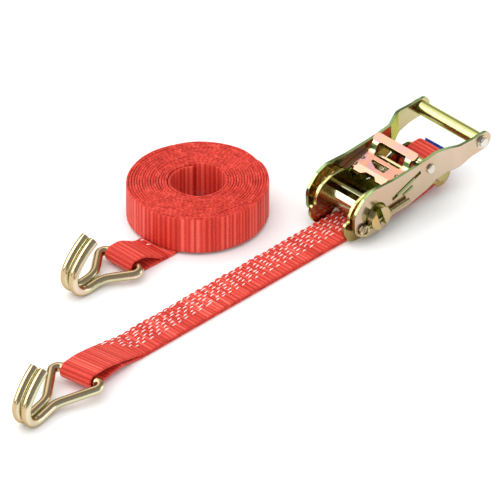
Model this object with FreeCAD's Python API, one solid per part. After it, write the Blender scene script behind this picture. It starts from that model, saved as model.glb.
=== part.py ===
# Ratchet tie down for 35 mm webbing: a ratchet buckle on a short fixed strap, and a separate
# long strap wound in a coil. Each strap ends in a double J wire hook.
#
# Layout frame while modelling: X runs along the short strap from its hook to the buckle's
# grip, Z is up with the floor at zero, and the mandrel's axis is parallel to Y above X = 0.
# Before export everything is moved so that the origin is the middle of the whole outline.
import FreeCAD, Part
import math
import os

V = FreeCAD.Vector

# ---- driving dimensions, millimetres and degrees ----
# webbing
web_w = 35.0            # width of the webbing
web_t = 2.3             # thickness of one layer
stack_t = 4.8           # two sewn layers
gap = 0.3               # clearance between separate bodies

# buckle, widths are half widths measured from the middle plane
mandrel_z = 22.0        # height of the mandrel's axis
plate_t = 3.0           # frame and handle side plates
frame_in = 19.0         # inner face of the frame's side plates
gear_t = 4.6
shaft_r = 11.3          # both half-moon shafts together
shaft_slot = 5.6        # gap between them for the webbing
shaft_end = 37.4
shaft_tilt = 20.0       # direction in which the halves stand apart, from +X towards +Z
running = 0.08          # radial running clearance of shafts and pins
cam_r = 20.0            # round top of the frame, above the mandrel
lobe_r = 32.0           # stop lobe of the frame
gear_r = 20.5
gear_root_r = 17.0
gear_teeth = 12

# rear pin of the frame, which carries the short strap
rear_x = 88.5
rear_dz = -4.0          # from the mandrel's axis
rear_lobe_r = 12.0
rear_pin_r = 4.0
sleeve_r = 5.6
loop_r = 12.5           # outside of the webbing loop, below and in front of the sleeve
loop_rise = 13.3        # the stiff loop stands up this far above the pin's axis
loop_back = 14.2        # and back this far behind it

# handle
flare_x0 = 77.0         # start of the outward bend of the handle plates
flare_x1 = 95.0         # its end
flare_dy = 8.8          # how far the bend moves the plate outwards
grip_x = 122.0
grip_dz = 22.8
grip_r = 6.3
grip_bolt_r = 3.2
rivet_x = 67.3
rivet_dz = 16.8
pawl_tilt = 19.1        # direction of the pull plate's slot, which points at the mandrel
slot_u0 = 21.3          # radial start and end of that slot
slot_u1 = 58.2
slot_w = 3.5
deck_n = 6.4            # underside of the pull plate's deck above the slot's middle line
deck_t = 2.4
pull_u = 26.7           # front of the pull plate where it passes over the frame's cams

# frame pawl
lock_tilt = -8.0

# hooks
wire_r = 4.3
bar_half = 29.0         # half width of the hook's eye, to the corner before rounding
eye_r = 6.2             # rounding of those corners
jaw_r = 16.8            # bend radius of the J
jaw_lean = 32.0         # lean from vertical at the end of that bend
claw_r = 60.0           # the claws go on leaning over with this larger radius
claw_lean = 62.0        # lean at the tip
wire_gap = 0.6          # half gap between the two shanks
bar_gap = 0.9           # between the hook's bar and the webbing loop around it

loop_w = 30.0           # webbing's width where it is gathered around a hook's bar

# places of the hooks and the coil
short_bar = V(-341.5, 0.0, 12.0)
short_jaw_dx = 66.5     # from the eye's bar to the middle of the J's bend
short_neck_dx = 42.0    # from the bar to where the two arms meet
yaw_x = -285.0          # from here the short strap's front end and its hook lie turned
yaw = 8.5               # by this angle towards -Y
long_bar = V(-189.0, 91.0, 9.0)
long_jaw_dx = 49.5
long_neck_dx = 31.0
coil_x = -87.0
coil_y = 103.2
coil_r = 62.7
coil_hole_r = 25.0
coil_z = 2.7            # the coil stands on its own flat tail

frame_out = frame_in + plate_t
gear_in = frame_out + gap
gear_out = gear_in + gear_t
handle_in = gear_out + gap
handle_out = handle_in + plate_t
grip_in = handle_in + flare_dy
grip_out = handle_out + flare_dy

nodes = {}


# ---- helpers ----
def rounded(points):
    """Closed wire in the XZ plane. Each point is (x, z) or (x, z, corner radius)."""
    count = len(points)
    starts = []
    arcs = []
    for i, point in enumerate(points):
        p = V(point[0], 0, point[1])
        radius = point[2] if len(point) > 2 else 0
        if radius == 0:
            starts.append((p, p))
            arcs.append(None)
            continue
        before = points[i - 1]
        after = points[(i + 1) % count]
        a = (V(before[0], 0, before[1]) - p).normalize()
        b = (V(after[0], 0, after[1]) - p).normalize()
        half = a.getAngle(b) / 2
        reach = radius / math.tan(half)
        p0 = p + a * reach
        p1 = p + b * reach
        centre = p + (a + b).normalize() * (radius / math.sin(half))
        middle = centre + (p - centre).normalize() * radius
        starts.append((p0, p1))
        arcs.append(Part.Arc(p0, middle, p1).toShape())
    edges = []
    for i in range(count):
        if arcs[i]:
            edges.append(arcs[i])
        p1 = starts[i][1]
        p0 = starts[(i + 1) % count][0]
        if (p0 - p1).Length > 1e-4:
            edges.append(Part.makeLine(p1, p0))
    return Part.Wire(edges)


def plate(points, y0, y1):
    """Outline in the XZ plane, extruded from y0 to y1."""
    face = Part.Face(rounded(points))
    face.translate(V(0, y0, 0))
    return face.extrude(V(0, y1 - y0, 0))


def deck(points, z0, z1):
    """Outline given as (x, y) or (x, y, radius), extruded from z0 to z1."""
    face = Part.Face(rounded(points))
    face.rotate(V(0, 0, 0), V(1, 0, 0), -90)
    solid = face.extrude(V(0, 0, z1 - z0))
    solid.translate(V(0, 0, z0))
    return solid


def rod(x, z, radius, y0, y1):
    """Cylinder parallel to Y."""
    return Part.makeCylinder(radius, y1 - y0, V(x, y0, z), V(0, 1, 0))


def long_hole(x0, z0, x1, z1, width, y0, y1):
    """Square ended slot cutter whose middle line runs from (x0, z0) to (x1, z1)."""
    length = math.hypot(x1 - x0, z1 - z0)
    cutter = Part.makeBox(length, y1 - y0, width, V(0, y0, -width / 2))
    angle = math.degrees(math.atan2(z1 - z0, x1 - x0))
    cutter.rotate(V(0, 0, 0), V(0, 1, 0), -angle)
    cutter.translate(V(x0, 0, z0))
    return cutter


def box(x0, x1, y0, y1, z0, z1):
    return Part.makeBox(x1 - x0, y1 - y0, z1 - z0, V(x0, y0, z0))


def tilt(shape, degrees):
    """Turn a shape about the mandrel's axis, from +X towards +Z, and lift it to that axis."""
    turned = shape.copy()
    turned.rotate(V(0, 0, 0), V(0, 1, 0), -degrees)
    turned.translate(V(0, 0, mandrel_z))
    return turned


def mirror_y(shape):
    return shape.mirror(V(0, 0, 0), V(0, 1, 0))


def lift(shape, x=0.0, y=0.0, z=0.0):
    moved = shape.copy()
    moved.translate(V(x, y, z))
    return moved


def spring(radius, wire, length, turns):
    """Compression spring along +X from the origin."""
    helix = Part.makeHelix(length / turns, length, radius)
    start = V(radius, 0, 0)
    section = Part.Wire(Part.makeCircle(wire, start, V(0, 1, 0)))
    coil = Part.Wire(helix).makePipeShell([section], True, True)
    coil.rotate(V(0, 0, 0), V(0, 1, 0), 90)
    return coil


# ---- frame: two side plates joined by a web, bent from one strip ----
def frame_outline():
    """Side plate, measured from the mandrel's axis."""
    rear_top = rear_dz + rear_lobe_r
    rear_low = rear_dz - rear_lobe_r
    return [
        (-5.0, cam_r, 12), (-19.5, 14.6, 13), (-25.2, 3.4, 6), (-24.2, 0.4, 0.8),
        (-lobe_r + 2.0, -0.6, 3), (-lobe_r + 0.4, -8.5, 7), (-26.0, -19.0, 9), (-17.5, -21.8, 8),
        (-7.5, -21.8, 7), (-3.0, -15.5, 4), (52, -15.5, 10), (64, -12.0, 8), (80, -9.5, 4),
        (rear_x - 3.5, rear_low, 3), (rear_x + rear_lobe_r, rear_low, rear_lobe_r - 0.4),
        (rear_x + rear_lobe_r, rear_top, rear_lobe_r - 0.4), (rear_x - 10, rear_top, 8),
        (63, 3.2, 8), (21.5, 3.2, 5), (15.5, cam_r, 12)]


def make_frame():
    outline = frame_outline()
    sides = plate(outline, frame_in, frame_out).fuse(plate(outline, -frame_out, -frame_in))
    web = plate([(24, -15.5), (50, -15.5, 8), (60.5, -13.4, 1), (60.5, 0.5), (58, 0.5), (58, -11.5),
                 (49.7, -13.0, 6), (24, -13.0)], -frame_in, frame_in)
    channel = sides.fuse(web).removeSplitter()
    bore = rod(0, 0, shaft_r + running, -frame_out - 1, frame_out + 1)
    pin_bore = rod(rear_x, rear_dz, rear_pin_r + 0.02, -frame_out - 1, frame_out + 1)
    channel = channel.cut([bore, pin_bore])
    lock_slot = box(22.6, 55.5, -frame_out - 1, frame_out + 1, -1.6, 1.6)
    lock_slot = lock_slot.common(
        Part.makeCompound([box(0, 90, frame_in - 0.5, 40, -5, 5), box(0, 90, -40, -frame_in + 0.5, -5, 5)]))
    lock_slot.rotate(V(0, 0, 0), V(0, 1, 0), -lock_tilt)
    channel = channel.cut(lock_slot)
    nodes["frame_channel"] = lift(channel, z=mandrel_z)

    head = 2.4
    pin = rod(rear_x, rear_dz, rear_pin_r, -frame_out - 0.1, frame_out + 0.1)
    for side in (-1, 1):
        dome = rod(rear_x, rear_dz, 6.6, frame_out + 0.02, frame_out + head)
        dome = dome.makeFillet(1.4, [dome.Edges[0]])
        dome = dome if side > 0 else mirror_y(dome)
        pin = pin.fuse(dome)
    nodes["rear_pin"] = lift(pin.removeSplitter(), z=mandrel_z)
    sleeve = rod(rear_x, rear_dz, sleeve_r, -frame_in + 0.1, frame_in - 0.1)
    sleeve = sleeve.cut(rod(rear_x, rear_dz, rear_pin_r + running, -frame_in, frame_in))
    nodes["rear_sleeve"] = lift(sleeve, z=mandrel_z)


# ---- frame pawl: a flat plate whose ears pass through the frame and face the gears ----
def make_frame_pawl():
    half_t = 1.3
    ear_y = gear_out - 0.1
    ear_u0 = gear_r + 0.5
    root_u0 = 23.6
    body_y = frame_in - 0.35
    rear_u = 44.0
    body = deck([(root_u0, -body_y, 1), (rear_u - 4, -body_y, 2), (rear_u, -11, 2), (rear_u, 11, 2),
                 (rear_u - 4, body_y, 2), (root_u0, body_y, 1)], -half_t, half_t)
    bridge = box(root_u0 + 2, root_u0 + 14, -ear_y, ear_y, -half_t, half_t)
    ears = []
    for side in (-1, 1):
        ear = deck([(ear_u0, gear_in + 0.1), (root_u0 + 14, gear_in + 0.1), (root_u0 + 14, ear_y, 2),
                    (ear_u0, ear_y)], -half_t, half_t)
        ears.append(ear if side > 0 else mirror_y(ear))
    pawl = body.fuse([bridge] + ears).removeSplitter()
    nodes["frame_pawl"] = tilt(pawl, lock_tilt)
    coil = spring(2.7, 0.45, 12.6, 6)
    nodes["frame_pawl_spring"] = tilt(lift(coil, x=rear_u + 0.5), lock_tilt)


# ---- mandrel: two half-moon shafts, a toothed gear on each side, a split pin at each end ----
def half_moon(side):
    bar = rod(0, 0, shaft_r, -shaft_end, shaft_end)
    keep = box(shaft_slot / 2, shaft_r + 1, -shaft_end, shaft_end, -shaft_r - 1, shaft_r + 1)
    half = bar.common(keep)
    flats = [edge for edge in half.Edges if abs(edge.CenterOfMass.y) > shaft_end - 0.01]
    half = half.makeChamfer(0.7, flats)
    if side < 0:
        half = half.mirror(V(0, 0, 0), V(1, 0, 0))
    return half


def gear_outline():
    """Saw teeth: a steep face and a long sloping back."""
    points = []
    step = 360.0 / gear_teeth
    for i in range(gear_teeth):
        for radius, share in ((gear_root_r, 0.0), (gear_r, 0.06), (gear_r, 0.22)):
            angle = math.radians(step * (i + share) + 2.0)
            points.append((radius * math.cos(angle), radius * math.sin(angle), 0.35))
    return points


def make_mandrel():
    pin_r = 1.8
    pin_y = handle_out + 0.7 + pin_r
    pin_turn = 4.0 - shaft_tilt
    pin_drop = 3.2
    halves = {"mandrel_shaft_rear": half_moon(1), "mandrel_shaft_front": half_moon(-1)}
    pins = {}
    for name, side in (("split_pin_left", 1), ("split_pin_right", -1)):
        legs = Part.makeCylinder(pin_r - 0.05, 52, V(-14, side * pin_y, 0), V(1, 0, 0))
        split = box(0, 40, side * pin_y - 3, side * pin_y + 3, -0.2, 0.2)
        eye = Part.makeTorus(4.2, 1.5, V(-16.6, side * pin_y, -3.0), V(0, 1, 0))
        shape = lift(legs.fuse(eye).cut(split), z=-pin_drop)
        shape.rotate(V(0, 0, 0), V(0, 1, 0), -pin_turn)
        pins[name] = shape
    for name, half in halves.items():
        for side in (-1, 1):
            hole = Part.makeCylinder(pin_r, 60, V(-30, side * pin_y, -pin_drop), V(1, 0, 0))
            hole.rotate(V(0, 0, 0), V(0, 1, 0), -pin_turn)
            half = half.cut(hole)
        nodes[name] = tilt(half, shaft_tilt)
    for name, shape in pins.items():
        nodes[name] = tilt(shape, shaft_tilt)
    seat = rod(0, 0, shaft_r + 0.03, -60, 60)
    rib = box(-shaft_slot / 2 + 0.03, shaft_slot / 2 - 0.03, -60, 60, -20, 20)
    wheel = plate(gear_outline(), gear_in, gear_out).cut(seat.cut(rib))
    nodes["gear_left"] = tilt(wheel, shaft_tilt)
    nodes["gear_right"] = tilt(mirror_y(wheel), shaft_tilt)


# ---- handle: two bent side plates, spring seat, spacer with rivet, grip ----
def handle_outline():
    """Side plate, measured from the mandrel's axis with the handle closed."""
    return [
        (-26.5, 11.0, 14), (-15.0, 22.6, 14), (-3.0, 27.4, 20), (22.0, 26.0, 60), (60.0, 27.6, 80),
        (88.0, 31.2, 40), (112.0, 30.4, 60), (129.0, 30.8, 7.5), (134.0, 23.5, 6), (129.5, 14.4, 7),
        (108.0, 13.2, 30), (84.0, 6.6, 30), (66.0, -2.6, 20), (47.0, -7.2, 30), (38.0, -9.0, 20),
        (20.0, -9.0, 10), (12.0, -16.5, 10), (-12.0, -18.0, 12), (-25.8, -9.0, 11)]


def handle_band():
    """Plan view of the left plate's thickness, with its outward bend."""
    bend = 14.0
    return [
        (-40, handle_in), (flare_x0, handle_in, bend), (flare_x1, grip_in, bend), (150, grip_in),
        (150, grip_out), (flare_x1 - 0.9, grip_out, bend), (flare_x0 - 0.9, handle_out, bend),
        (-40, handle_out)]


def make_handle():
    far = 60.0
    side = plate(handle_outline(), 20, 45).common(deck(handle_band(), -40, 60))
    cuts = [rod(0, 0, shaft_r + running, 0, far), rod(rivet_x, rivet_dz, 3.02, 0, far),
            rod(grip_x, grip_dz, grip_bolt_r + 0.02, 0, far)]
    slope = math.radians(pawl_tilt)
    cuts.append(long_hole(slot_u0 * math.cos(slope), slot_u0 * math.sin(slope),
                          slot_u1 * math.cos(slope), slot_u1 * math.sin(slope), slot_w, 0, far))
    chamfer = Part.makeCone(shaft_r, shaft_r + 1.6, 1.6, V(0, handle_out - 1.5, 0), V(0, 1, 0))
    cuts.append(chamfer)
    seat_u0 = 32.8
    seat_u1 = 45.6
    seat_n = -6.0
    seat_t = 2.2
    wall_u = 50.6
    low = seat_n - seat_t / 2
    high = seat_n + seat_t / 2
    seat = [box(seat_u0, seat_u1, -handle_in, handle_in, low, high),
            box(seat_u0 + 0.2, seat_u1 - 0.2, -handle_out - 0.6, handle_out + 0.6, low, high),
            box(seat_u1, wall_u + seat_t, -16, 16, low, high),
            box(wall_u, wall_u + seat_t, -16, 16, low, 2.6)]
    seat_plate = seat[0].fuse(seat[1:]).removeSplitter()
    slot = box(seat_u0 + 0.15, seat_u1 - 0.15, 0, far, low - 0.05, high + 0.05)
    slot.rotate(V(0, 0, 0), V(0, 1, 0), -pawl_tilt)
    cuts.append(slot)
    side = side.cut(cuts)
    nodes["handle_plate_left"] = lift(side, z=mandrel_z)
    nodes["handle_plate_right"] = lift(mirror_y(side), z=mandrel_z)
    nodes["handle_spring_seat"] = tilt(seat_plate, pawl_tilt)

    tube = rod(rivet_x, rivet_dz, 4.3, -handle_in + 0.02, handle_in - 0.02)
    tube = tube.cut(rod(rivet_x, rivet_dz, 3.05, -far, far))
    nodes["handle_spacer"] = lift(tube, z=mandrel_z)
    rivet = rod(rivet_x, rivet_dz, 3.0, -handle_out - 0.5, handle_out + 0.5)
    for side_sign in (-1, 1):
        head = rod(rivet_x, rivet_dz, 4.7, handle_out + 0.02, handle_out + 2.3)
        head = head.makeFillet(1.3, [head.Edges[0]])
        rivet = rivet.fuse(head if side_sign > 0 else mirror_y(head))
    nodes["handle_rivet"] = lift(rivet.removeSplitter(), z=mandrel_z)

    grip = rod(grip_x, grip_dz, grip_r, -grip_in + 0.25, grip_in - 0.25)
    grip = grip.makeFillet(0.7, [edge for edge in grip.Edges if edge.Curve.TypeId == "Part::GeomCircle"])
    grip = grip.cut(rod(grip_x, grip_dz, grip_bolt_r + running, -far, far))
    nodes["grip_tube"] = lift(grip, z=mandrel_z)
    washer_t = 1.2
    washers = []
    for side_sign in (-1, 1):
        washer = rod(grip_x, grip_dz, 6.0, grip_out + 0.02, grip_out + washer_t)
        washer = washer.cut(rod(grip_x, grip_dz, grip_bolt_r + 0.05, 0, far))
        washers.append(washer if side_sign > 0 else mirror_y(washer))
    nodes["grip_washers"] = lift(Part.makeCompound(washers), z=mandrel_z)
    head_y = grip_out + washer_t + 0.02
    bolt = rod(grip_x, grip_dz, grip_bolt_r, -head_y - 2.6, head_y + 2.9)
    head = rod(grip_x, grip_dz, 4.6, -head_y - 2.6, -head_y)
    head = head.makeFillet(1.0, [head.Edges[2]])
    nodes["grip_bolt"] = lift(bolt.fuse(head).removeSplitter(), z=mandrel_z)
    nut_points = []
    for i in range(6):
        angle = math.radians(60 * i)
        nut_points.append((grip_x + 5.0 * math.cos(angle), grip_dz + 5.0 * math.sin(angle)))
    nut = plate(nut_points, head_y, head_y + 2.6)
    nut = nut.cut(rod(grip_x, grip_dz, grip_bolt_r + 0.03, 0, far))
    nodes["grip_nut"] = lift(nut, z=mandrel_z)


# ---- pull plate: the handle's pawl and finger pull in one stamping ----
def make_pull_plate():
    """Built along its own radial line u, which is X here, with n upwards, then tilted."""
    inner = handle_in - gap
    n0 = deck_n
    n1 = deck_n + deck_t
    prong_u = 19.9
    front_u = 24.0
    prong_y = gear_in - 0.1
    cam_y = frame_in - 0.5
    bar_u0 = 58.6
    bar_u1 = 66.0
    bar_y = 25.5
    bar_n = 8.9
    low_n = 2.7
    arm_y = 23.0
    top = deck([
        (front_u, -cam_y, 1), (front_u, -9, 2), (front_u + 3.5, -5, 3), (front_u + 3.5, 5, 3),
        (front_u, 9, 2), (front_u, cam_y, 1), (pull_u, cam_y, 1.2), (pull_u, prong_y, 1.2),
        (prong_u, prong_y, 0.5), (prong_u, inner, 1), (50, inner, 4), (54, arm_y, 3),
        (57, arm_y, 2), (59, bar_y, 1.5), (bar_u1, bar_y, 3), (bar_u1, -bar_y, 3),
        (59, -bar_y, 1.5), (57, -arm_y, 2), (54, -arm_y, 3), (50, -inner, 4), (prong_u, -inner, 1),
        (prong_u, -prong_y, 0.5), (pull_u, -prong_y, 1.2), (pull_u, -cam_y, 1.2)], -20, 40)
    # the sheet runs level over the gears, dips, and rises again to the finger bar
    sheet = plate([
        (prong_u - 2, n0), (31, n0, 6), (50.5, low_n, 5), (bar_u0 - 1.5, bar_n, 5), (bar_u1 + 2, bar_n + 1.3),
        (bar_u1 + 2, bar_n + 1.3 + deck_t), (bar_u0 - 2.8, bar_n + deck_t, 5), (50.0, low_n + deck_t, 5),
        (31.3, n1, 6), (prong_u - 2, n1)], -40, 40)
    top = top.common(sheet)
    window = deck([(47.2, -16.5, 3), (bar_u0, -16.5, 3), (bar_u0, 16.5, 3), (47.2, 16.5, 3)], -20, 40)
    notch = deck([(35.4, -8.5, 1), (42.8, -8.5, 1.5), (42.8, 16.5, 1.5), (35.4, 1.5, 1)], -20, 40)
    top = top.cut([window, notch])
    dip = math.atan2(n0 - low_n, 50.5 - 31)
    for u in (30.0, 39.6):
        drop = max(0.0, u - 31.0) * math.tan(dip)
        for side in (-1, 1):
            place = V(u, side * 20.8, n1 - drop)
            top = top.cut(Part.makeCylinder(2.3, 8, place - V(0, 0, 0.9)))
            top = top.fuse(Part.makeSphere(1.75, place - V(0, 0, 1.1)))
    tab = box(34.2, 36.4, -5, 5, -2.2, n0 - 0.2)
    rolled = box(bar_u0, bar_u0 + 2.0, -16, 16, bar_n - 1.4, bar_n + 0.6)
    flanges = []
    for side in (-1, 1):
        wall = plate([(27.0, -1.3, 1), (50.0, -1.3, 1), (50.0, low_n + 0.6), (31.0, n0 + 0.2),
                      (27.0, n0 + 0.2)], inner - 2.5, inner)
        ear = box(27.5, 50.0, inner - 0.5, handle_out + 0.6, -1.3, 1.3)
        wall = wall.fuse(ear)
        flanges.append(wall if side > 0 else mirror_y(wall))
    pull = top.fuse([tab, rolled] + flanges).removeSplitter()
    nodes["pull_plate"] = tilt(pull, pawl_tilt)
    coil = spring(2.6, 0.45, 13.4, 6)
    nodes["pull_spring"] = tilt(lift(coil, x=36.8, z=-0.6), pawl_tilt)


# ---- hooks: one wire, bent to an eye and two claws side by side ----
def make_hook(bar, jaw_dx, neck_dx):
    """Double J hook whose eye bar's middle is at the given place. It rests on the floor."""
    drop = bar.z - wire_r
    throat_y = wire_r + wire_gap
    slope = math.atan2(drop * 0.86, jaw_dx - 6)
    run = V(-math.cos(slope), 0, -math.sin(slope))
    up = V(-math.sin(slope), 0, math.cos(slope))
    centre = V(-jaw_dx, 0, -drop + jaw_r)
    start = centre - up * jaw_r

    def on_arc(turn, middle, radius):
        """Point on an arc about the given middle, and the heading there."""
        a = math.radians(turn)
        point = middle - up * (radius * math.cos(a)) + run * (radius * math.sin(a))
        heading = run * math.cos(a) + up * math.sin(a)
        return point, heading

    total = 90 + math.degrees(slope) + jaw_lean
    mid, _ = on_arc(total / 2, centre, jaw_r)
    end, heading = on_arc(total, centre, jaw_r)
    claw_centre = centre + (centre - end).normalize() * (claw_r - jaw_r)
    claw_turn = claw_lean - jaw_lean
    claw_mid, _ = on_arc(total + claw_turn / 2, claw_centre, claw_r)
    tip, heading = on_arc(total + claw_turn, claw_centre, claw_r)
    side_y = V(0, throat_y, 0)
    reach = start.dot(run)
    rise = start.dot(up)

    def in_eye(along, across):
        """Point of the eye's plane, from the bar's middle along the run and across it."""
        return run * along + up * (rise * along / reach) + V(0, across, 0)

    neck = in_eye(neck_dx, throat_y)
    joint = start + side_y
    arm = fillet_path([in_eye(0, 0), in_eye(0, bar_half), neck, joint], [0, eye_r, 24.0, 0])
    jaw = Part.Arc(joint, mid + side_y, end + side_y).toShape()
    claw = Part.Arc(end + side_y, claw_mid + side_y, tip + side_y).toShape()
    path = Part.Wire(arm + [jaw, claw])
    profile = Part.Wire(Part.makeCircle(wire_r, V(0, 0, 0), V(0, 1, 0)))
    half = path.makePipeShell([profile], True, False)
    hook = half.fuse(mirror_y(half)).removeSplitter()
    hook.translate(bar)
    return hook


def fillet_path(points, radii):
    """Open run of lines and tangent arcs through a list of places in space."""
    edges = []
    last = points[0]
    for i in range(1, len(points) - 1):
        p = points[i]
        a = (points[i - 1] - p).normalize()
        b = (points[i + 1] - p).normalize()
        half = a.getAngle(b) / 2
        reach = radii[i] / math.tan(half)
        p0 = p + a * reach
        p1 = p + b * reach
        centre = p + (a + b).normalize() * (radii[i] / math.sin(half))
        middle = centre + (p - centre).normalize() * radii[i]
        edges.append(Part.makeLine(last, p0))
        edges.append(Part.Arc(p0, middle, p1).toShape())
        last = p1
    edges.append(Part.makeLine(last, points[-1]))
    return edges


# ---- straps ----
def turned(shape):
    """Turn the short strap's front end about the vertical line where it starts to lie askew."""
    askew = shape.copy()
    askew.rotate(V(yaw_x, 0, 0), V(0, 0, 1), yaw)
    return askew


def ribbon(points, y):
    """Side view of a strap, extruded over the webbing's width around y."""
    return plate(points, y - web_w / 2, y + web_w / 2)


def around_bar(strap, bar):
    """Put the loop for the hook's bar at the end of a strap and make the strap's end narrower."""
    outer = wire_r + bar_gap + web_t
    loop = rod(bar.x, bar.z, outer, bar.y - loop_w / 2, bar.y + loop_w / 2)
    strap = strap.fuse(loop).cut(rod(bar.x, bar.z, wire_r + bar_gap, bar.y - web_w, bar.y + web_w))
    for y0, y1 in ((-web_w, -loop_w / 2), (loop_w / 2, web_w)):
        strap = strap.cut(box(bar.x - 20, bar.x + 13, bar.y + y0, bar.y + y1, -1, 60))
    return strap


def make_short_strap():
    pin_z = mandrel_z + rear_dz
    top_z = pin_z + loop_rise
    rear = rear_x + loop_back
    body = ribbon([(yaw_x + 8, 0), (68, 0, 30), (rear_x, pin_z - loop_r, 10), (rear, pin_z - loop_r + 2.5, 9),
                   (rear, top_z, 6), (rear_x - 3, top_z - 1.0, 8), (rear_x - 11, pin_z + 6.6), (66, stack_t, 14),
                   (yaw_x + 8, stack_t)], 0)
    wall = stack_t - 0.2
    hollow = plate([(rear_x - 5, pin_z - loop_r + wall, 5), (rear - wall, pin_z - loop_r + wall + 2, 5),
                    (rear - wall, top_z - wall, 4), (rear_x - 5, top_z - wall - 1.0, 6)], -web_w, web_w)
    body = body.cut([hollow, rod(rear_x, pin_z, loop_r - wall, -web_w, web_w)])
    bar = short_bar
    outer = wire_r + bar_gap + web_t
    front = ribbon([(bar.x, bar.z - outer), (bar.x + 26, 5.5, 20), (bar.x + 40, 6.5, 20),
                    (yaw_x + 7, 0, 40), (yaw_x + 14, 0), (yaw_x + 14, stack_t),
                    (yaw_x + 7, stack_t, 40), (bar.x + 40, 12.5, 30), (bar.x + 22, 17.0, 20),
                    (bar.x, bar.z + outer)], 0)
    front = turned(around_bar(front, bar))
    nodes["short_strap"] = body.fuse(front).removeSplitter()
    label = box(0, 0.6, -web_w / 2 + 0.6, web_w / 2 - 0.6, 0, 14.0)
    label.rotate(V(0, 0, 0), V(0, 1, 0), 22)
    nodes["strap_label"] = lift(label, x=rear + 0.4, z=pin_z - 2.6)


def make_long_strap():
    bar = long_bar
    outer = wire_r + bar_gap + web_t
    coil = Part.makeCylinder(coil_r, web_w, V(coil_x, coil_y, coil_z))
    coil = coil.cut(Part.makeCylinder(coil_hole_r, 2 * web_w, V(coil_x, coil_y, 0)))
    nodes["long_strap_coil"] = coil
    single = 2.4
    y0 = bar.y - web_w / 2
    y1 = bar.y + web_w / 2
    tail = ribbon([(bar.x, bar.z - outer), (bar.x + 15, 0, 10), (coil_x + 45, 0), (coil_x + 45, single),
                   (coil_x - coil_r + 6, single), (coil_x - coil_r - 4, stack_t - 0.4),
                   (bar.x + 16, 9.5), (bar.x, bar.z + outer)], bar.y)
    tail = around_bar(tail, bar)
    tail = tail.cut(Part.makeCylinder(coil_r + 0.05, web_w, V(coil_x, coil_y, coil_z - 0.1)))
    round_end = Part.makeCylinder(coil_r + 3.6, coil_z + web_w - 1.5, V(coil_x, coil_y, 0))
    inside = Part.makeCylinder(coil_r + 0.1, 2 * web_w, V(coil_x, coil_y, single))
    fold = round_end.cut(inside).common(box(coil_x + 44, coil_x + 80, y0, y1, 0, 60))
    nodes["long_strap_tail"] = tail.fuse(fold).removeSplitter()


make_frame()
make_frame_pawl()
make_mandrel()
make_handle()
make_pull_plate()
make_short_strap()
make_long_strap()
nodes["short_hook"] = turned(make_hook(short_bar, short_jaw_dx, short_neck_dx))
nodes["long_hook"] = make_hook(long_bar, long_jaw_dx, long_neck_dx)

# ---- centre the outline over the origin and export ----
outline = FreeCAD.BoundBox()
for shape in nodes.values():
    outline.add(shape.BoundBox)
shift = V(-(outline.XMin + outline.XMax) / 2, -(outline.YMin + outline.YMax) / 2, 0)
os.makedirs("parts", exist_ok=True)
for name, shape in nodes.items():
    moved = shape.copy()
    moved.translate(shift)
    moved.exportStep("parts/" + name + ".step")
    print(name, "solids", len(moved.Solids), "valid", moved.isValid(), "volume", round(moved.Volume))
print("shift", round(shift.x, 3), round(shift.y, 3))
print("size", round(outline.XLength, 1), round(outline.YLength, 1), round(outline.ZLength, 1),
      "lowest", round(outline.ZMin, 3))
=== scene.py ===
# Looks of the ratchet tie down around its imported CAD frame: webbing, stitching, label and metal finishes.
import bpy
import math
import numpy as np
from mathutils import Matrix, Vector


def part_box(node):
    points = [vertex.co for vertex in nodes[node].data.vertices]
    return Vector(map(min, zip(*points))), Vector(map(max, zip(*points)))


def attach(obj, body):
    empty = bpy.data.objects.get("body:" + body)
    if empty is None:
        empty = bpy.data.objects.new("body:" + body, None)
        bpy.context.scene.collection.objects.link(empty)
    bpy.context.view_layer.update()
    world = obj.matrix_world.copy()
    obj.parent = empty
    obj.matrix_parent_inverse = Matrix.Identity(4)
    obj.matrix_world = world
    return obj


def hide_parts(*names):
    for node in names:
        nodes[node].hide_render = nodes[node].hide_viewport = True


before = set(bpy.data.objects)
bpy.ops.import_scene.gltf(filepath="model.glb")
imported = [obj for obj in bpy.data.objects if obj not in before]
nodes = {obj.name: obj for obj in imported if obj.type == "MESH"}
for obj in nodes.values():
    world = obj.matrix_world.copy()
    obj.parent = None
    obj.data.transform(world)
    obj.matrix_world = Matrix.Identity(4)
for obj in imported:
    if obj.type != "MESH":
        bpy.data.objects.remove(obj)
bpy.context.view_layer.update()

# ---- layout: millimetres with the mandrel's axis above X = 0, Y = 0, as the part is laid out ----
REAR_X = 88.5
sleeve_lo, sleeve_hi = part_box("rear_sleeve")
middle = (sleeve_lo + sleeve_hi) / 2
ORIGIN = np.array([middle.x - REAR_X / 1000, middle.y, 0.0])
WEB_W = 35.0
WIRE_R = 4.3            # radius of the hooks' wire


def metres(points):
    """Layout millimetres to row-frame metres."""
    return np.asarray(points, float) / 1000 + ORIGIN


# ---- camera: a long lens far away, at azimuth -45 and elevation 35 degrees ----
RIGHT = np.array([0.70711, -0.70711, 0.0])
UP = np.array([0.40558, 0.40558, 0.81915])
BACK = np.array([-0.57923, -0.57923, 0.57358])
DISTANCE = 20000.0
SCALE = 1.15
aim = np.array([0.0, -30.2, 22.0])
cam = bpy.data.cameras.new("camera")
cam.sensor_width = 36.0
cam.lens = SCALE * DISTANCE / 500 * 36
cam.clip_start = 1.0
cam.clip_end = 200.0
camera = bpy.data.objects.new("camera", cam)
camera.location = metres(aim + BACK * DISTANCE - RIGHT * 109.74 - UP * 30.0)
camera.rotation_euler = Vector(-BACK).to_track_quat("-Z", "Y").to_euler()
bpy.context.scene.collection.objects.link(camera)
bpy.context.scene.camera = camera
bpy.context.scene.view_settings.view_transform = "Standard"

rng = np.random.default_rng(11)


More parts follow.
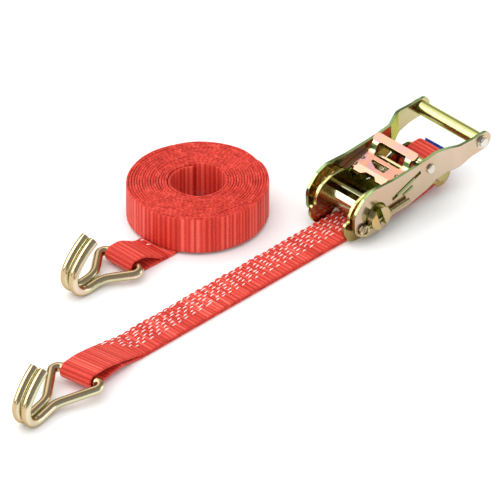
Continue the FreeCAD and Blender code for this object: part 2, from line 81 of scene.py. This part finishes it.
# ---- node helpers ----
def add(tree, kind, values=None, **props):
    """New node. values holds a number, or a socket to link, for each input."""
    n = tree.nodes.new(kind)
    for key, value in props.items():
        setattr(n, key, value)
    for key, value in (values or {}).items():
        if isinstance(value, bpy.types.NodeSocket):
            tree.links.new(value, n.inputs[key])
        else:
            n.inputs[key].default_value = value
    return n


def calc(tree, operation, a, b=0.0, c=0.0):
    """Output of a Math node."""
    return add(tree, "ShaderNodeMath", {0: a, 1: b, 2: c}, operation=operation).outputs[0]


def mix(tree, factor, a, b):
    n = add(tree, "ShaderNodeMix", {0: factor, 6: a, 7: b}, data_type="RGBA")
    return n.outputs[2]


def ramp(tree, factor, stops):
    n = add(tree, "ShaderNodeValToRGB", {0: factor})
    elements = n.color_ramp.elements
    while len(elements) < len(stops):
        elements.new(0.5)
    for element, (position, color) in zip(elements, stops):
        element.position = position
        element.color = color
    return n.outputs[0]


def srgb(r, g, b):
    """Linear colour of an sRGB triple from 0 to 255."""
    def linear(c):
        c = c / 255
        return c / 12.92 if c <= 0.04045 else ((c + 0.055) / 1.055) ** 2.4
    return (linear(r), linear(g), linear(b), 1.0)


def material(name):
    m = bpy.data.materials.new(name)
    m.use_nodes = True
    return m, m.node_tree, m.node_tree.nodes["Principled BSDF"]


def level(tree, value, low, high, to_low=0.0, to_high=1.0):
    """Value taken from low..high to to_low..to_high, and kept within it."""
    n = add(tree, "ShaderNodeMapRange", {0: value, 1: low, 2: high, 3: to_low, 4: to_high})
    return n.outputs[0]


# ---- webbing material: woven polyester; the cross ribs' heights, held in a mesh attribute, paint shade into the colour: painted shade in the troughs, painted highlight on the crests ----
def webbing(name, dark, main, light, weft=1.55, warp=1.4):
    m, t, bsdf = material(name)
    uv = add(t, "ShaderNodeUVMap", uv_map="flat").outputs[0]
    axes = add(t, "ShaderNodeSeparateXYZ", {0: uv})
    along = calc(t, "MULTIPLY", axes.outputs[0], 1000.0)
    across = calc(t, "MULTIPLY", axes.outputs[1], 1000.0)
    rib_height_and_shade = add(t, "ShaderNodeAttribute", attribute_name="rib_height_and_shade").outputs["Fac"]
    position = add(t, "ShaderNodeTexCoord").outputs["Object"]
    speck = add(t, "ShaderNodeTexNoise", {"Vector": position, "Scale": 1400.0, "Detail": 2.0}).outputs[0]
    cloud = add(t, "ShaderNodeTexNoise", {"W": calc(t, "MULTIPLY", along, 0.09), "Scale": 1.0, "Detail": 2.0},
                noise_dimensions="1D").outputs[0]
    row = calc(t, "FLOOR", calc(t, "DIVIDE", across, warp))
    phase = calc(t, "MULTIPLY_ADD", along, 2 * math.pi / weft, calc(t, "MULTIPLY", row, math.pi * 0.66))
    float_over = calc(t, "SINE", phase)
    yarn = calc(t, "ABSOLUTE", calc(t, "SINE", calc(t, "MULTIPLY", across, math.pi / warp)))
    weave = calc(t, "MULTIPLY", calc(t, "MULTIPLY_ADD", float_over, 0.5, 0.5), calc(t, "POWER", yarn, 0.5))
    # painted shade and highlight: the rib heights darken the troughs and lighten the crests
    tone = calc(t, "MULTIPLY_ADD", weave, 0.2, calc(t, "MULTIPLY_ADD", rib_height_and_shade, 1.05, -0.33))
    tone = calc(t, "MULTIPLY_ADD", calc(t, "SUBTRACT", speck, 0.5), 0.8, tone)
    tone = calc(t, "MULTIPLY_ADD", calc(t, "SUBTRACT", cloud, 0.5), 0.9, tone)
    color = ramp(t, tone, [(0.0, dark), (0.4, main), (1.0, light)])
    t.links.new(color, bsdf.inputs["Base Color"])
    height = calc(t, "MULTIPLY_ADD", speck, 0.35, weave)
    bump = add(t, "ShaderNodeBump", {"Strength": 0.55, "Distance": 0.00022, "Height": height})
    t.links.new(bump.outputs[0], bsdf.inputs["Normal"])
    bsdf.inputs["Roughness"].default_value = 0.62
    bsdf.inputs["Specular IOR Level"].default_value = 0.35
    bsdf.inputs["Sheen Weight"].default_value = 0.12
    bsdf.inputs["Sheen Roughness"].default_value = 0.4
    bsdf.inputs["Sheen Tint"].default_value = srgb(255, 190, 175)
    return m


# the dark and light stops are reached mostly through the painted rib shade and highlight
RED = webbing("webbing_red", srgb(180, 34, 22), srgb(224, 62, 44), srgb(238, 116, 102))
BLUE = webbing("label_blue", srgb(0, 48, 130), srgb(0, 72, 172), srgb(40, 104, 196), 0.8, 0.7)


# ---- strips: closed thin bands swept along a line ----
def smooth_line(points, step):
    """Evenly spaced points on a Catmull-Rom line through the given 2-D points."""
    p = np.asarray(points, float)
    p = np.vstack([2 * p[0] - p[1], p, 2 * p[-1] - p[-2]])
    out = []
    for a, b, c, d in zip(p[:-3], p[1:-2], p[2:-1], p[3:]):
        count = max(2, int(np.linalg.norm(c - b) / 0.25))
        u = np.linspace(0, 1, count, endpoint=False)[:, None]
        out.append(0.5 * (2 * b + (c - a) * u + (2 * a - 5 * b + 4 * c - d) * u ** 2
                          + (3 * b - a - 3 * c + d) * u ** 3))
    out.append(p[-2][None])
    out = np.vstack(out)
    length = np.concatenate([[0], np.cumsum(np.linalg.norm(np.diff(out, axis=0), axis=1))])
    count = int(length[-1] / step) + 1
    s = np.linspace(0, length[-1], count)
    return np.column_stack([np.interp(s, length, out[:, k]) for k in range(out.shape[1])]), s


def arc(cx, cz, radius, a0, a1, count):
    a = np.radians(np.linspace(a0, a1, count))
    return np.column_stack([cx + radius * np.cos(a), cz + radius * np.sin(a)])


def profile(width, thick, columns):
    """Ring of (across, off the middle) round a band with rounded selvedges."""
    h = width / 2
    flat = np.linspace(-h + 0.9, h - 0.9, columns)
    top = [(v, thick / 2) for v in flat]
    edge = [(h - 0.25, thick * 0.36), (h, 0.0), (h - 0.25, -thick * 0.36)]
    bottom = [(v, -thick / 2) for v in flat[::-1]]
    other = [(-v, -n) for v, n in edge]
    return np.array(top + edge + bottom + other)


def ribs(length, pitch, seed, spread=0.22):
    """Height from 0 to 1 of irregular cross ribs along a strap, as a function of the length along it."""
    r = np.random.default_rng(seed)
    steps = pitch * (1 + spread * r.uniform(-1, 1, int(length / pitch * 1.6) + 8))
    knots = np.concatenate([[-2 * pitch], -2 * pitch + np.cumsum(steps)])
    tall = r.uniform(0.55, 1.0, len(knots))

    def height(u):
        i = np.clip(np.searchsorted(knots, u) - 1, 0, len(knots) - 2)
        f = (u - knots[i]) / (knots[i + 1] - knots[i])
        return np.sin(np.pi * np.clip(f, 0, 1)) ** 0.8 * tall[i]
    return height


def swept(name, centre, side, off, s, ring, mat, rib_height_and_shade, lift=None, width=None, warp=None):
    """Closed band mesh. centre, side and off are rows of points, across and normal directions."""
    rows, cols = len(s), len(ring)
    v = np.tile(ring[:, 0], (rows, 1))
    n = np.tile(ring[:, 1], (rows, 1))
    u = np.tile(s[:, None], (1, cols))
    crest = rib_height_and_shade(u)
    face = np.clip((np.abs(ring[:, 1]) / np.abs(ring[:, 1]).max() - 0.3) / 0.7, 0, 1)[None]
    n = n + np.sign(n) * face * (crest - 0.5) * 0.34
    if width is not None:
        v = v * width(u, v)
    if lift is not None:
        n = n + lift(u, v)
    p = centre[:, None] + side[:, None] * v[..., None] + off[:, None] * n[..., None]
    if warp is not None:
        p = warp(p)
    flat = metres(p.reshape(-1, 3))
    i = np.arange(rows - 1)[:, None] * cols
    j = np.arange(cols)[None]
    k = (j + 1) % cols
    quads = np.stack([i + j, i + k, i + cols + k, i + cols + j], -1).reshape(-1, 4)
    faces = quads.tolist()
    faces.append(list(range(cols))[::-1])
    faces.append([(rows - 1) * cols + c for c in range(cols)])
    mesh = bpy.data.meshes.new(name)
    mesh.from_pydata(flat.tolist(), [], faces)
    mesh.validate()
    layer = mesh.uv_layers.new(name="flat")
    loops = np.zeros(len(mesh.loops), np.int32)
    mesh.loops.foreach_get("vertex_index", loops)
    plain = np.column_stack([u.ravel(), np.tile(ring[:, 0], rows)]) / 1000
    layer.data.foreach_set("uv", plain[loops].astype(np.float32).ravel())
    # the rib heights on the faces are stored as painted shade for the colour, with a flat middle shade on the
    # selvedges
    tone = mesh.attributes.new("rib_height_and_shade", "FLOAT", "POINT")
    shade = crest * face + 0.42 * (1 - face)
    tone.data.foreach_set("value", shade.ravel().astype(np.float32))
    mesh.polygons.foreach_set("use_smooth", [True] * len(mesh.polygons))
    mesh.materials.append(mat)
    mesh.update()
    obj = bpy.data.objects.new(name, mesh)
    bpy.context.scene.collection.objects.link(obj)
    return obj


def left_normals(line):
    """Unit left-hand normals of a 2-D line."""
    t = np.gradient(line, axis=0)
    t /= np.linalg.norm(t, axis=1)[:, None]
    return np.column_stack([-t[:, 1], t[:, 0]])


# ---- short strap: one band from the rear sleeve to the hook's bar and back, sewn together ----
YAW_X = -285.0          # where the front end starts to turn
YAW = 8.5               # by this many degrees
SHORT_BAR = (-341.5, 12.0)
BAND_T = 2.2            # thickness of the webbing
RIB_PITCH = 4.0
LOW = 0.1 + BAND_T / 2
HIGH = 4.75 - BAND_T / 2


def askew(p):
    """The strap's front end lies turned about the vertical line where it starts to."""
    share = np.clip((YAW_X + 10 - p[..., 0]) / 20, 0, 1)
    share = share * share * (3 - 2 * share)
    a = np.radians(YAW) * share
    x = p[..., 0] - YAW_X
    y = p[..., 1]
    q = p.copy()
    q[..., 0] = YAW_X + x * np.cos(a) - y * np.sin(a)
    q[..., 1] = x * np.sin(a) + y * np.cos(a)
    return q


LOOP_R = WIRE_R + 0.9 + 1.25    # the band's middle round a hook's bar
line = np.vstack([
    # under the buckle to the rear
    [(0, LOW), (20, LOW), (40, LOW), (54, LOW + 0.1), (64, LOW + 0.9), (74, 3.6)],
    # round the rear sleeve, where the loop stands up
    [(82, 5.6), (88.5, 6.8), (95.5, 8.2), (99.6, 11.3), (101.6, 16.2), (103.4, 21.5), (104.3, 26.4),
     (102.3, 29.6), (97.0, 30.3), (88.5, 29.6), (82.2, 26.2), (77.2, 19.9), (72.3, 11.2), (68.3, 5.7),
     (62.5, HIGH + 0.1)],
    # the top layer, forward to the hook
    [(52, HIGH), (20, HIGH), (-40, HIGH), (-120, HIGH), (-200, HIGH), (-262, HIGH), (-272, HIGH + 0.3),
     (-288, 7.2), (-301.5, 11.2), (-319.5, 15.7), (-331, 17.6)],
    arc(SHORT_BAR[0], SHORT_BAR[1], LOOP_R, 96, 264, 12),
    # the bottom layer, back under the buckle
    [(-331, 6.0), (-318, 6.9), (-301.5, 6.1), (-288, 3.0), (-276, LOW + 0.3), (-264, LOW), (-200, LOW),
     (-120, LOW), (-60, LOW), (-1.0, LOW)]])
line, short_s = smooth_line(line, 1.0)
normal = left_normals(line)
SHORT_LEN = short_s[-1]
blank = np.zeros(len(line))
centre = np.column_stack([line[:, 0], blank, line[:, 1]])
side = np.tile([0.0, 1.0, 0.0], (len(line), 1))
# off is +Z on the top layer, where the line runs towards -X
off = np.column_stack([-normal[:, 0], blank, -normal[:, 1]])
x_of = line[:, 0]
SEWN = (-297.0, 42.0)   # the sewn layers' ends in X


def sewn_share(u):
    """1 where the two layers are sewn together, 0 at the loops."""
    x = np.interp(u, short_s, x_of)
    return np.clip((x - SEWN[0]) / 10, 0, 1) * np.clip((SEWN[1] + 20 - x) / 15, 0, 1)


PUCKER = 8.0            # length of one pucker
SHORT_EYE_W = 32.6      # the band's width in the hook's eye
wobble = np.random.default_rng(5).uniform(-1, 1, 400)


def short_width(u, v):
    """Narrower in the hook's eye, and pulled in between the stitches along the far edge."""
    x = np.interp(u, short_s, x_of)
    eye = np.clip((x - SHORT_BAR[0]) / 55, 0, 1)
    w = SHORT_EYE_W / WEB_W + (1 - SHORT_EYE_W / WEB_W) * eye
    k = x / PUCKER
    cell = np.floor(k).astype(int) % 400
    dent = np.abs(np.sin(np.pi * k)) ** 0.6 * (0.75 + 0.25 * wobble[cell]) - 0.55
    return w + sewn_share(u) * dent * 2.2 / (WEB_W / 2) * np.clip(v / 6 - 1.2, 0, 1)


def short_lift(u, v):
    """Puckers across the sewn layers."""
    x = np.interp(u, short_s, x_of)
    k = x / PUCKER
    wave = np.abs(np.sin(np.pi * k)) ** 0.7 - 0.6
    edge = np.clip(1 + (v + 5) / 9, 0, 1)
    share = sewn_share(u) * np.clip((v + 12) / 8, 0.15, 1)
    outer = np.interp(u, short_s, (centre[:, 2] > 2.4).astype(float))
    return share * wave * 0.7 * outer * edge


short_rib = ribs(SHORT_LEN, RIB_PITCH, 21)
short_strap = swept("short_strap_webbing", centre, side, off, short_s, profile(WEB_W, BAND_T, 30), RED,
                    short_rib, short_lift, short_width, askew)
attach(short_strap, "short_strap")
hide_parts("short_strap")


# ---- stitching: rows of white dashes through both layers ----
def thread_material():
    m, t, bsdf = material("thread_white")
    position = add(t, "ShaderNodeTexCoord").outputs["Object"]
    twist = add(t, "ShaderNodeTexWave", {"Vector": position, "Scale": 420.0, "Distortion": 2.0}).outputs[1]
    color = mix(t, twist, srgb(252, 236, 228), srgb(255, 252, 248))
    t.links.new(color, bsdf.inputs["Base Color"])
    bump = add(t, "ShaderNodeBump", {"Strength": 0.4, "Distance": 0.0002, "Height": twist})
    t.links.new(bump.outputs[0], bsdf.inputs["Normal"])
    bsdf.inputs["Roughness"].default_value = 0.5
    return m


WHITE = thread_material()


def capsules(name, items, radius, warp=None):
    """Short threads, each bowed out of the cloth. items are (middle, half vector, off direction)."""
    verts = []
    faces = []
    rings, around = 5, 8
    for mid, half, off_dir in items:
        ax = half / np.linalg.norm(half)
        cross = np.cross(ax, off_dir)
        base = len(verts)
        for i in range(rings):
            f = i / (rings - 1) * 2 - 1
            fat = math.sqrt(max(0.0, 1 - (abs(f) ** 4) * 0.93))
            c = mid + half * f + off_dir * (0.25 * (1 - f * f) - 0.12)
            for j in range(around):
                a = 2 * math.pi * j / around
                verts.append(c + (cross * math.cos(a) + off_dir * math.sin(a) * 0.75) * radius * fat)
        for i in range(rings - 1):
            for j in range(around):
                k = (j + 1) % around
                a, b = base + i * around, base + (i + 1) * around
                faces.append((a + j, a + k, b + k, b + j))
        faces.append([base + j for j in range(around)][::-1])
        faces.append([base + (rings - 1) * around + j for j in range(around)])
    p = np.array(verts)
    if warp is not None:
        p = warp(p)
    mesh = bpy.data.meshes.new(name)
    mesh.from_pydata(metres(p).tolist(), [], faces)
    mesh.polygons.foreach_set("use_smooth", [True] * len(mesh.polygons))
    mesh.materials.append(WHITE)
    mesh.update()
    obj = bpy.data.objects.new(name, mesh)
    bpy.context.scene.collection.objects.link(obj)
    return obj


threads = []
rows = [14.4, 9.6, 6.0, 2.4, -1.4, -5.4]
starts = [-293.0, -286.0, -279.0, -280.0, -276.0, -271.0]
ROWS_END = 44
THREAD_R = 0.5
STRAIGHT_UP = np.array([0.0, 0.0, 1.0])
for y, x0 in zip(rows, starts):
    x = x0 + rng.uniform(0, 3)
    drift = 0.0
    while x < ROWS_END:
        length = rng.uniform(4.0, 6.0)
        gap = rng.uniform(2.6, 4.4)
        if rng.uniform() < 0.05:
            length *= 1.7
        drift = 0.7 * drift + rng.uniform(-0.5, 0.5)
        slant = rng.uniform(-0.24, 0.02)
        mid = np.array([x + length / 2, y + drift, 4.95])
        if x < -270:
            mid[2] = np.interp(-(x + length / 2), [262, 272, 288, 301], [4.95, 5.2, 8.6, 12.6])
        pitch = 0.0 if x > -268 else -0.2
        half = np.array([length / 2, -length / 2 * slant, pitch * length / 2])
        threads.append((mid, half, STRAIGHT_UP))
        x += length + gap
stitches = capsules("short_strap_stitching", threads, THREAD_R, askew)
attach(stitches, "short_strap")

# ---- label behind the rear loop ----
label_line, label_s = smooth_line([(103.6, 15.6), (105.3, 19.4), (107.2, 23.8), (108.9, 28.2)], 0.5)
normal = left_normals(label_line)
blank = np.zeros(len(label_line))
label_ribs = ribs(20, 1.2, 3)
# its rib heights also paint shade and highlight into the label's colour
label = swept("strap_label_cloth", np.column_stack([label_line[:, 0], blank, label_line[:, 1]]),
              np.tile([0.0, 1.0, 0.0], (len(label_line), 1)),
              np.column_stack([-normal[:, 0], blank, -normal[:, 1]]), label_s,
              profile(33.8, 0.6, 24), BLUE, lambda u: label_ribs(u) * 0.4 + 0.3,
              lambda u, v: 0.25 * np.sin(v / 5.0 + u / 7.0) * u / 14)
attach(label, "short_strap")
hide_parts("strap_label")

# ---- long strap: wound on edge in a coil ----
COIL = (-87.0, 103.2)
COIL_R = 62.7
HOLE_R = 23.4
TURN_T = 1.95           # thickness of one turn
PITCH = 2.38            # from one turn to the next
STEP = 1.12             # between points along the spiral
turns = (COIL_R + 0.6 - HOLE_R - TURN_T - 0.2) / PITCH
END_ANGLE = math.radians(2.0)
theta = []
a = 0.0
while a < turns * 2 * math.pi:
    theta.append(a)
    a += STEP / (HOLE_R + 1 + PITCH * a / 2 / math.pi)
theta = np.array(theta)
slack = 0.16 * np.sin(theta * 1.7 + 0.6) + 0.1 * np.sin(theta * 3.1)
inner = np.clip(1 - theta / (2 * math.pi * 1.2), 0, 1) ** 2
radius = HOLE_R + TURN_T / 2 + 0.1 + PITCH * theta / 2 / math.pi + slack * 0.45 - inner * 0.8
angle = END_ANGLE + theta - turns * 2 * math.pi
coil_line = np.column_stack([COIL[0] + radius * np.cos(angle), COIL[1] + radius * np.sin(angle)])
coil_s = np.concatenate([[0], np.cumsum(np.linalg.norm(np.diff(coil_line, axis=0), axis=1))])
normal = left_normals(coil_line)
rise = 2.7 + WEB_W / 2    # it lies on its tail, and sinks where there is none
far_side = np.clip((coil_line[:, 1] - 107.0) / 50.0, 0, 1)
height = (rise + 0.22 * np.sin(coil_s / 23.0) + 0.16 * np.sin(coil_s / 7.1)
          - 2.3 * far_side - 1.6 * np.clip(far_side * 5, 0, 1) * inner)
centre = np.column_stack([coil_line, height])
side = np.tile([0.0, 0.0, 1.0], (len(coil_line), 1))
off = np.column_stack([-normal, np.zeros(len(coil_line))])
end_share = np.clip(1 - (theta[-1] - theta) / 0.6, 0, 1) ** 2
fuzz = np.random.default_rng(8).normal(0, 0.06, len(coil_s))
coil_rib = ribs(coil_s[-1], 4.2, 33, 0.3)
coil = swept("long_strap_coil_webbing", centre, side, off, coil_s, profile(WEB_W - 0.5, TURN_T, 6), RED,
             coil_rib, None,
             lambda u, v: (1 + np.interp(u, coil_s, fuzz) / (WEB_W / 2) * np.where(v > 0, 1.0, 0.3)
                           - np.interp(u, coil_s, end_share) * np.where(v > 0, 0.4, 0.0)))
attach(coil, "long_strap")
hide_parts("long_strap_coil")

# ---- tail of the long strap: from under the coil round its hook's bar, and back ----
LONG_BAR = (-189.0, 9.0)
TAIL_Y = 91.0
TAIL_EYE_W = 32.0       # the band's width in the hook's eye
line = np.vstack([
    [(-24.9, 30.5), (-24.5, 24), (-23.6, 14), (-23.2, 6.5), (-24.6, 2.6), (-28.5, 1.35), (-36, 1.2),
     (-60, 1.2), (-100, 1.2), (-140, 1.2), (-160, 1.2), (-172, 1.3), (-180, 1.9)],
    arc(LONG_BAR[0], LONG_BAR[1], LOOP_R, -94, -262, 12),
    [(-181, 15.2), (-175, 13.0), (-168, 9.2), (-161.5, 5.6), (-156.0, 4.1), (-150.6, 3.75)]])
line, tail_s = smooth_line(line, 1.0)
normal = left_normals(line)
blank = np.zeros(len(line))
centre = np.column_stack([line[:, 0], blank + TAIL_Y, line[:, 1]])
side = np.tile([0.0, 1.0, 0.0], (len(line), 1))
off = np.column_stack([normal[:, 0], blank, normal[:, 1]])
tail_x = line[:, 0]


def tail_width(u, v):
    x = np.interp(u, tail_s, tail_x)
    eye = np.clip((x - LONG_BAR[0]) / 35, 0, 1)
    return TAIL_EYE_W / WEB_W + (1 - TAIL_EYE_W / WEB_W) * eye


def tail_hug(p):
    """The turned-up end bends round the coil's side."""
    q = p.copy()
    r = COIL_R + 2.1
    dy = p[..., 1] - COIL[1]
    inward = r - np.sqrt(np.clip(r * r - dy * dy, 0, None))
    up = np.clip(p[..., 0] + 50, 0, 25) / 25
    q[..., 0] -= inward * up * np.clip(p[..., 2] / 3, 0, 1)
    return q


tail = swept("long_strap_tail_webbing", centre, side, off, tail_s, profile(WEB_W, BAND_T, 24), RED,
             ribs(tail_s[-1], RIB_PITCH, 44), None, tail_width, tail_hug)
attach(tail, "long_strap")
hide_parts("long_strap_tail")
tail_threads = []
for x, y in ((-153.0, 104.3), (-154.1, 95.8)):
    tail_threads.append((np.array([x, y, 5.2]), np.array([1.7, -1.0, -0.1]), STRAIGHT_UP))
tail_stitches = capsules("long_strap_stitching", tail_threads, THREAD_R)
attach(tail_stitches, "long_strap")


# ---- yellow-passivated zinc: a warm mirror with cloudy pink and gold tints, edges tinted greener as a painted reflection and paler as a painted highlight ----
def zinc(name, tints, edge, rough, seed, axis="Y", cloud=24.0, grazing=srgb(205, 215, 130)):
    m, t, bsdf = material(name)
    coords = add(t, "ShaderNodeTexCoord")
    place = add(t, "ShaderNodeVectorMath", {0: coords.outputs["Object"], 1: (seed, seed * 0.7, -seed)},
                operation="ADD").outputs[0]
    drift = add(t, "ShaderNodeTexNoise", {"Vector": place, "Scale": cloud, "Detail": 3.0,
                                          "Distortion": 0.8}).outputs[0]
    fine = add(t, "ShaderNodeTexNoise", {"Vector": place, "Scale": 420.0, "Detail": 3.0}).outputs[0]
    tone = calc(t, "MULTIPLY_ADD", calc(t, "SUBTRACT", fine, 0.5), 0.06, drift)
    a, b, c = tints
    film = ramp(t, tone, [(0.3, a), (0.5, b), (0.7, c)])
    facing = add(t, "ShaderNodeSeparateXYZ", {0: coords.outputs["Normal"]})
    flat = calc(t, "ABSOLUTE", facing.outputs["XYZ".index(axis)])
    # painted reflection: faces turned away from the sheet's flat axis, the edges, take the greener edge tint
    painted_edge_reflection = level(t, flat, 0.85, 0.5)
    bevel = add(t, "ShaderNodeBevel", {"Radius": 0.0006}, samples=4)
    sharp = add(t, "ShaderNodeNewGeometry").outputs["Normal"]
    bent = add(t, "ShaderNodeVectorMath", {0: bevel.outputs[0], 1: sharp},
               operation="DOT_PRODUCT").outputs["Value"]
    # painted highlight: a pale tint along the rounded edges, where the bevelled normal turns away from the
    # flat face
    painted_edge_highlight = level(t, bent, 0.995, 0.8)
    # mix in the painted reflection tint on the edges
    color = mix(t, painted_edge_reflection, film, edge)
    color = mix(t, calc(t, "MULTIPLY", painted_edge_highlight, 0.25), color, srgb(225, 225, 185))
    t.links.new(color, bsdf.inputs["Base Color"])
    bsdf.inputs["Metallic"].default_value = 1.0
    bsdf.inputs["Specular Tint"].default_value = grazing
    gloss = level(t, fine, 0.3, 0.7, rough - 0.03, rough + 0.05)
    t.links.new(gloss, bsdf.inputs["Roughness"])
    peel = add(t, "ShaderNodeTexNoise", {"Vector": place, "Scale": 900.0, "Detail": 2.0}).outputs[0]
    bump = add(t, "ShaderNodeBump", {"Strength": 0.025, "Distance": 0.0001, "Height": peel,
                                     "Normal": bevel.outputs[0]})
    t.links.new(bump.outputs[0], bsdf.inputs["Normal"])
    return m


PINK = srgb(214, 180, 162)
TAN = srgb(200, 174, 134)
SAGE = srgb(184, 182, 142)
OLIVE = srgb(172, 170, 112)
GOLD = srgb(214, 170, 96)
LIME = srgb(136, 158, 106)
STEEL = srgb(216, 214, 204)
BRIGHT = srgb(235, 235, 225)
COMMON = (OLIVE, TAN, SAGE)
BARE = (STEEL, STEEL, TAN)
TOOTHED = (GOLD, OLIVE, TAN)
FAR_PLATE = (srgb(186, 176, 134), srgb(198, 186, 146), srgb(178, 172, 126))
NEAR_PLATE = (srgb(214, 182, 168), srgb(200, 180, 158), srgb(206, 172, 148))
CHANNEL = (srgb(190, 162, 112), srgb(178, 148, 96), SAGE)
GRIP = (srgb(168, 166, 122), srgb(184, 170, 130), srgb(192, 164, 136))
PULL = (srgb(244, 150, 150), srgb(222, 160, 128), srgb(196, 150, 160))
HOOK = (srgb(232, 206, 190), srgb(216, 208, 176), srgb(200, 204, 160))
HOOK_GRAZING = srgb(226, 214, 170)

# node: material's name, three tints, the edges' painted reflection tint, roughness, where the cloudy pattern
# is taken from
finishes = {
    "handle_plate_left": ("zinc_handle_left", FAR_PLATE, LIME, 0.16, 1.3),
    "handle_plate_right": ("zinc_handle_right", NEAR_PLATE, LIME, 0.2, 0.4),
    "frame_channel": ("zinc_frame", CHANNEL, OLIVE, 0.17, 2.1),
    "rear_pin": ("zinc_rear_pin", COMMON, SAGE, 0.24, 0.2),
    "rear_sleeve": ("zinc_sleeve", COMMON, SAGE, 0.26, 0.6),
    "frame_pawl": ("zinc_frame_pawl", COMMON, LIME, 0.24, 3.1),
    "mandrel_shaft_rear": ("zinc_shaft_rear", (SAGE, TAN, PINK), SAGE, 0.2, 4.0),
    "mandrel_shaft_front": ("zinc_shaft_front", (PINK, TAN, GOLD), SAGE, 0.2, 4.6),
    "split_pin_left": ("zinc_split_left", COMMON, SAGE, 0.24, 5.0),
    "split_pin_right": ("zinc_split_right", COMMON, SAGE, 0.24, 5.5),
    "gear_left": ("zinc_gear_left", TOOTHED, GOLD, 0.22, 6.0),
    "gear_right": ("zinc_gear_right", TOOTHED, GOLD, 0.22, 6.5),
    "handle_spring_seat": ("zinc_seat", COMMON, LIME, 0.24, 7.0),
    "handle_spacer": ("zinc_spacer", COMMON, SAGE, 0.24, 7.5),
    "handle_rivet": ("zinc_rivet", BARE, STEEL, 0.2, 8.0),
    "grip_tube": ("zinc_grip", GRIP, OLIVE, 0.24, 8.4),
    "grip_washers": ("zinc_washers", BARE, STEEL, 0.2, 8.8),
    "grip_bolt": ("zinc_bolt", BARE, STEEL, 0.2, 9.0),
    "grip_nut": ("zinc_nut", BARE, STEEL, 0.2, 9.3),
    "pull_plate": ("zinc_pull_plate", PULL, LIME, 0.16, 9.6),
    "short_hook": ("zinc_short_hook", HOOK, TAN, 0.18, 10.0),
    "long_hook": ("zinc_long_hook", HOOK, TAN, 0.18, 10.5),
    "frame_pawl_spring": ("steel_pawl_spring", BARE, STEEL, 0.25, 11.0),
    "pull_spring": ("steel_pull_spring", BARE, STEEL, 0.25, 11.5),
}
# what differs from the usual: the sheet's flat axis, the size of the clouds, the tint at grazing angles
special = {
    "handle_spring_seat": {"axis": "Z"},
    "pull_plate": {"axis": "Z", "cloud": 40.0},
    "grip_tube": {"cloud": 14.0},
    "handle_rivet": {"grazing": BRIGHT},
    "grip_bolt": {"grazing": BRIGHT},
    "short_hook": {"grazing": HOOK_GRAZING},
    "long_hook": {"grazing": HOOK_GRAZING},
}
for name, (label_name, tints, edge, rough, seed) in finishes.items():
    mesh = nodes[name].data
    mesh.materials.clear()
    mesh.materials.append(zinc(label_name, tints, edge, rough, seed, **special.get(name, {})))


# ---- floor, surroundings ----
def plain_floor(half=8.0, z=-0.0002):
    m, _, bsdf = material("floor_white")
    bsdf.inputs["Base Color"].default_value = (0.93, 0.93, 0.93, 1)
    bsdf.inputs["Roughness"].default_value = 0.9
    bsdf.inputs["Specular IOR Level"].default_value = 0.1
    mesh = bpy.data.meshes.new("floor")
    corners = [(-half, -half, z), (half, -half, z), (half, half, z), (-half, half, z)]
    mesh.from_pydata(corners, [], [(0, 1, 2, 3)])
    mesh.materials.append(m)
    floor = bpy.data.objects.new("floor", mesh)
    bpy.context.scene.collection.objects.link(floor)


plain_floor()

world = bpy.data.worlds.new("studio")
bpy.context.scene.world = world
world.use_nodes = True
t = world.node_tree
sky = t.nodes["Background"]
way = add(t, "ShaderNodeTexCoord").outputs["Generated"]    # direction of the sky


def softbox(direction, inner, outer, strength):
    """A round soft light in the sky around a direction, bright inside the inner angle."""
    d = Vector(direction).normalized()
    aligned = add(t, "ShaderNodeVectorMath", {0: way, 1: d}, operation="DOT_PRODUCT").outputs["Value"]
    return level(t, aligned, math.cos(math.radians(outer)), math.cos(math.radians(inner)), 0.0, strength)


def lights(base, boxes):
    total = base
    for direction, inner, outer, strength in boxes:
        total = calc(t, "ADD", softbox(direction, inner, outer, strength), total)
    return total


# broad lights for the cloth and the floor, and crisp ones for what the metal mirrors
soft = lights(0.66, [((-0.62, 0.62, 0.62), 20, 50, 0.8), ((-0.58, -0.58, 0.57), 20, 55, 0.65),
                    ((0.1, 0.3, 1.0), 20, 60, 0.95)])
crisp = lights(0.3, [((-0.62, 0.62, 0.56), 25, 28, 4.1), ((-0.1, 0.75, 1.0), 16, 30, 1.3),
                     ((0.3, 0.6, 0.75), 14, 24, 0.9),
                      ((0.75, -0.6, 0.1), 16, 24, 1.5), ((0.9, 0.5, 0.12), 10, 20, 0.9),
                      ((-0.95, -0.1, 0.12), 10, 16, 1.2)])
glossy = add(t, "ShaderNodeLightPath").outputs["Is Glossy Ray"]
light = calc(t, "MULTIPLY_ADD", calc(t, "SUBTRACT", crisp, soft), glossy, soft)
t.links.new(light, sky.inputs["Strength"])
sky.inputs["Color"].default_value = (1, 1, 1, 1)

# ---- final update of the scene ----
bpy.context.view_layer.update()
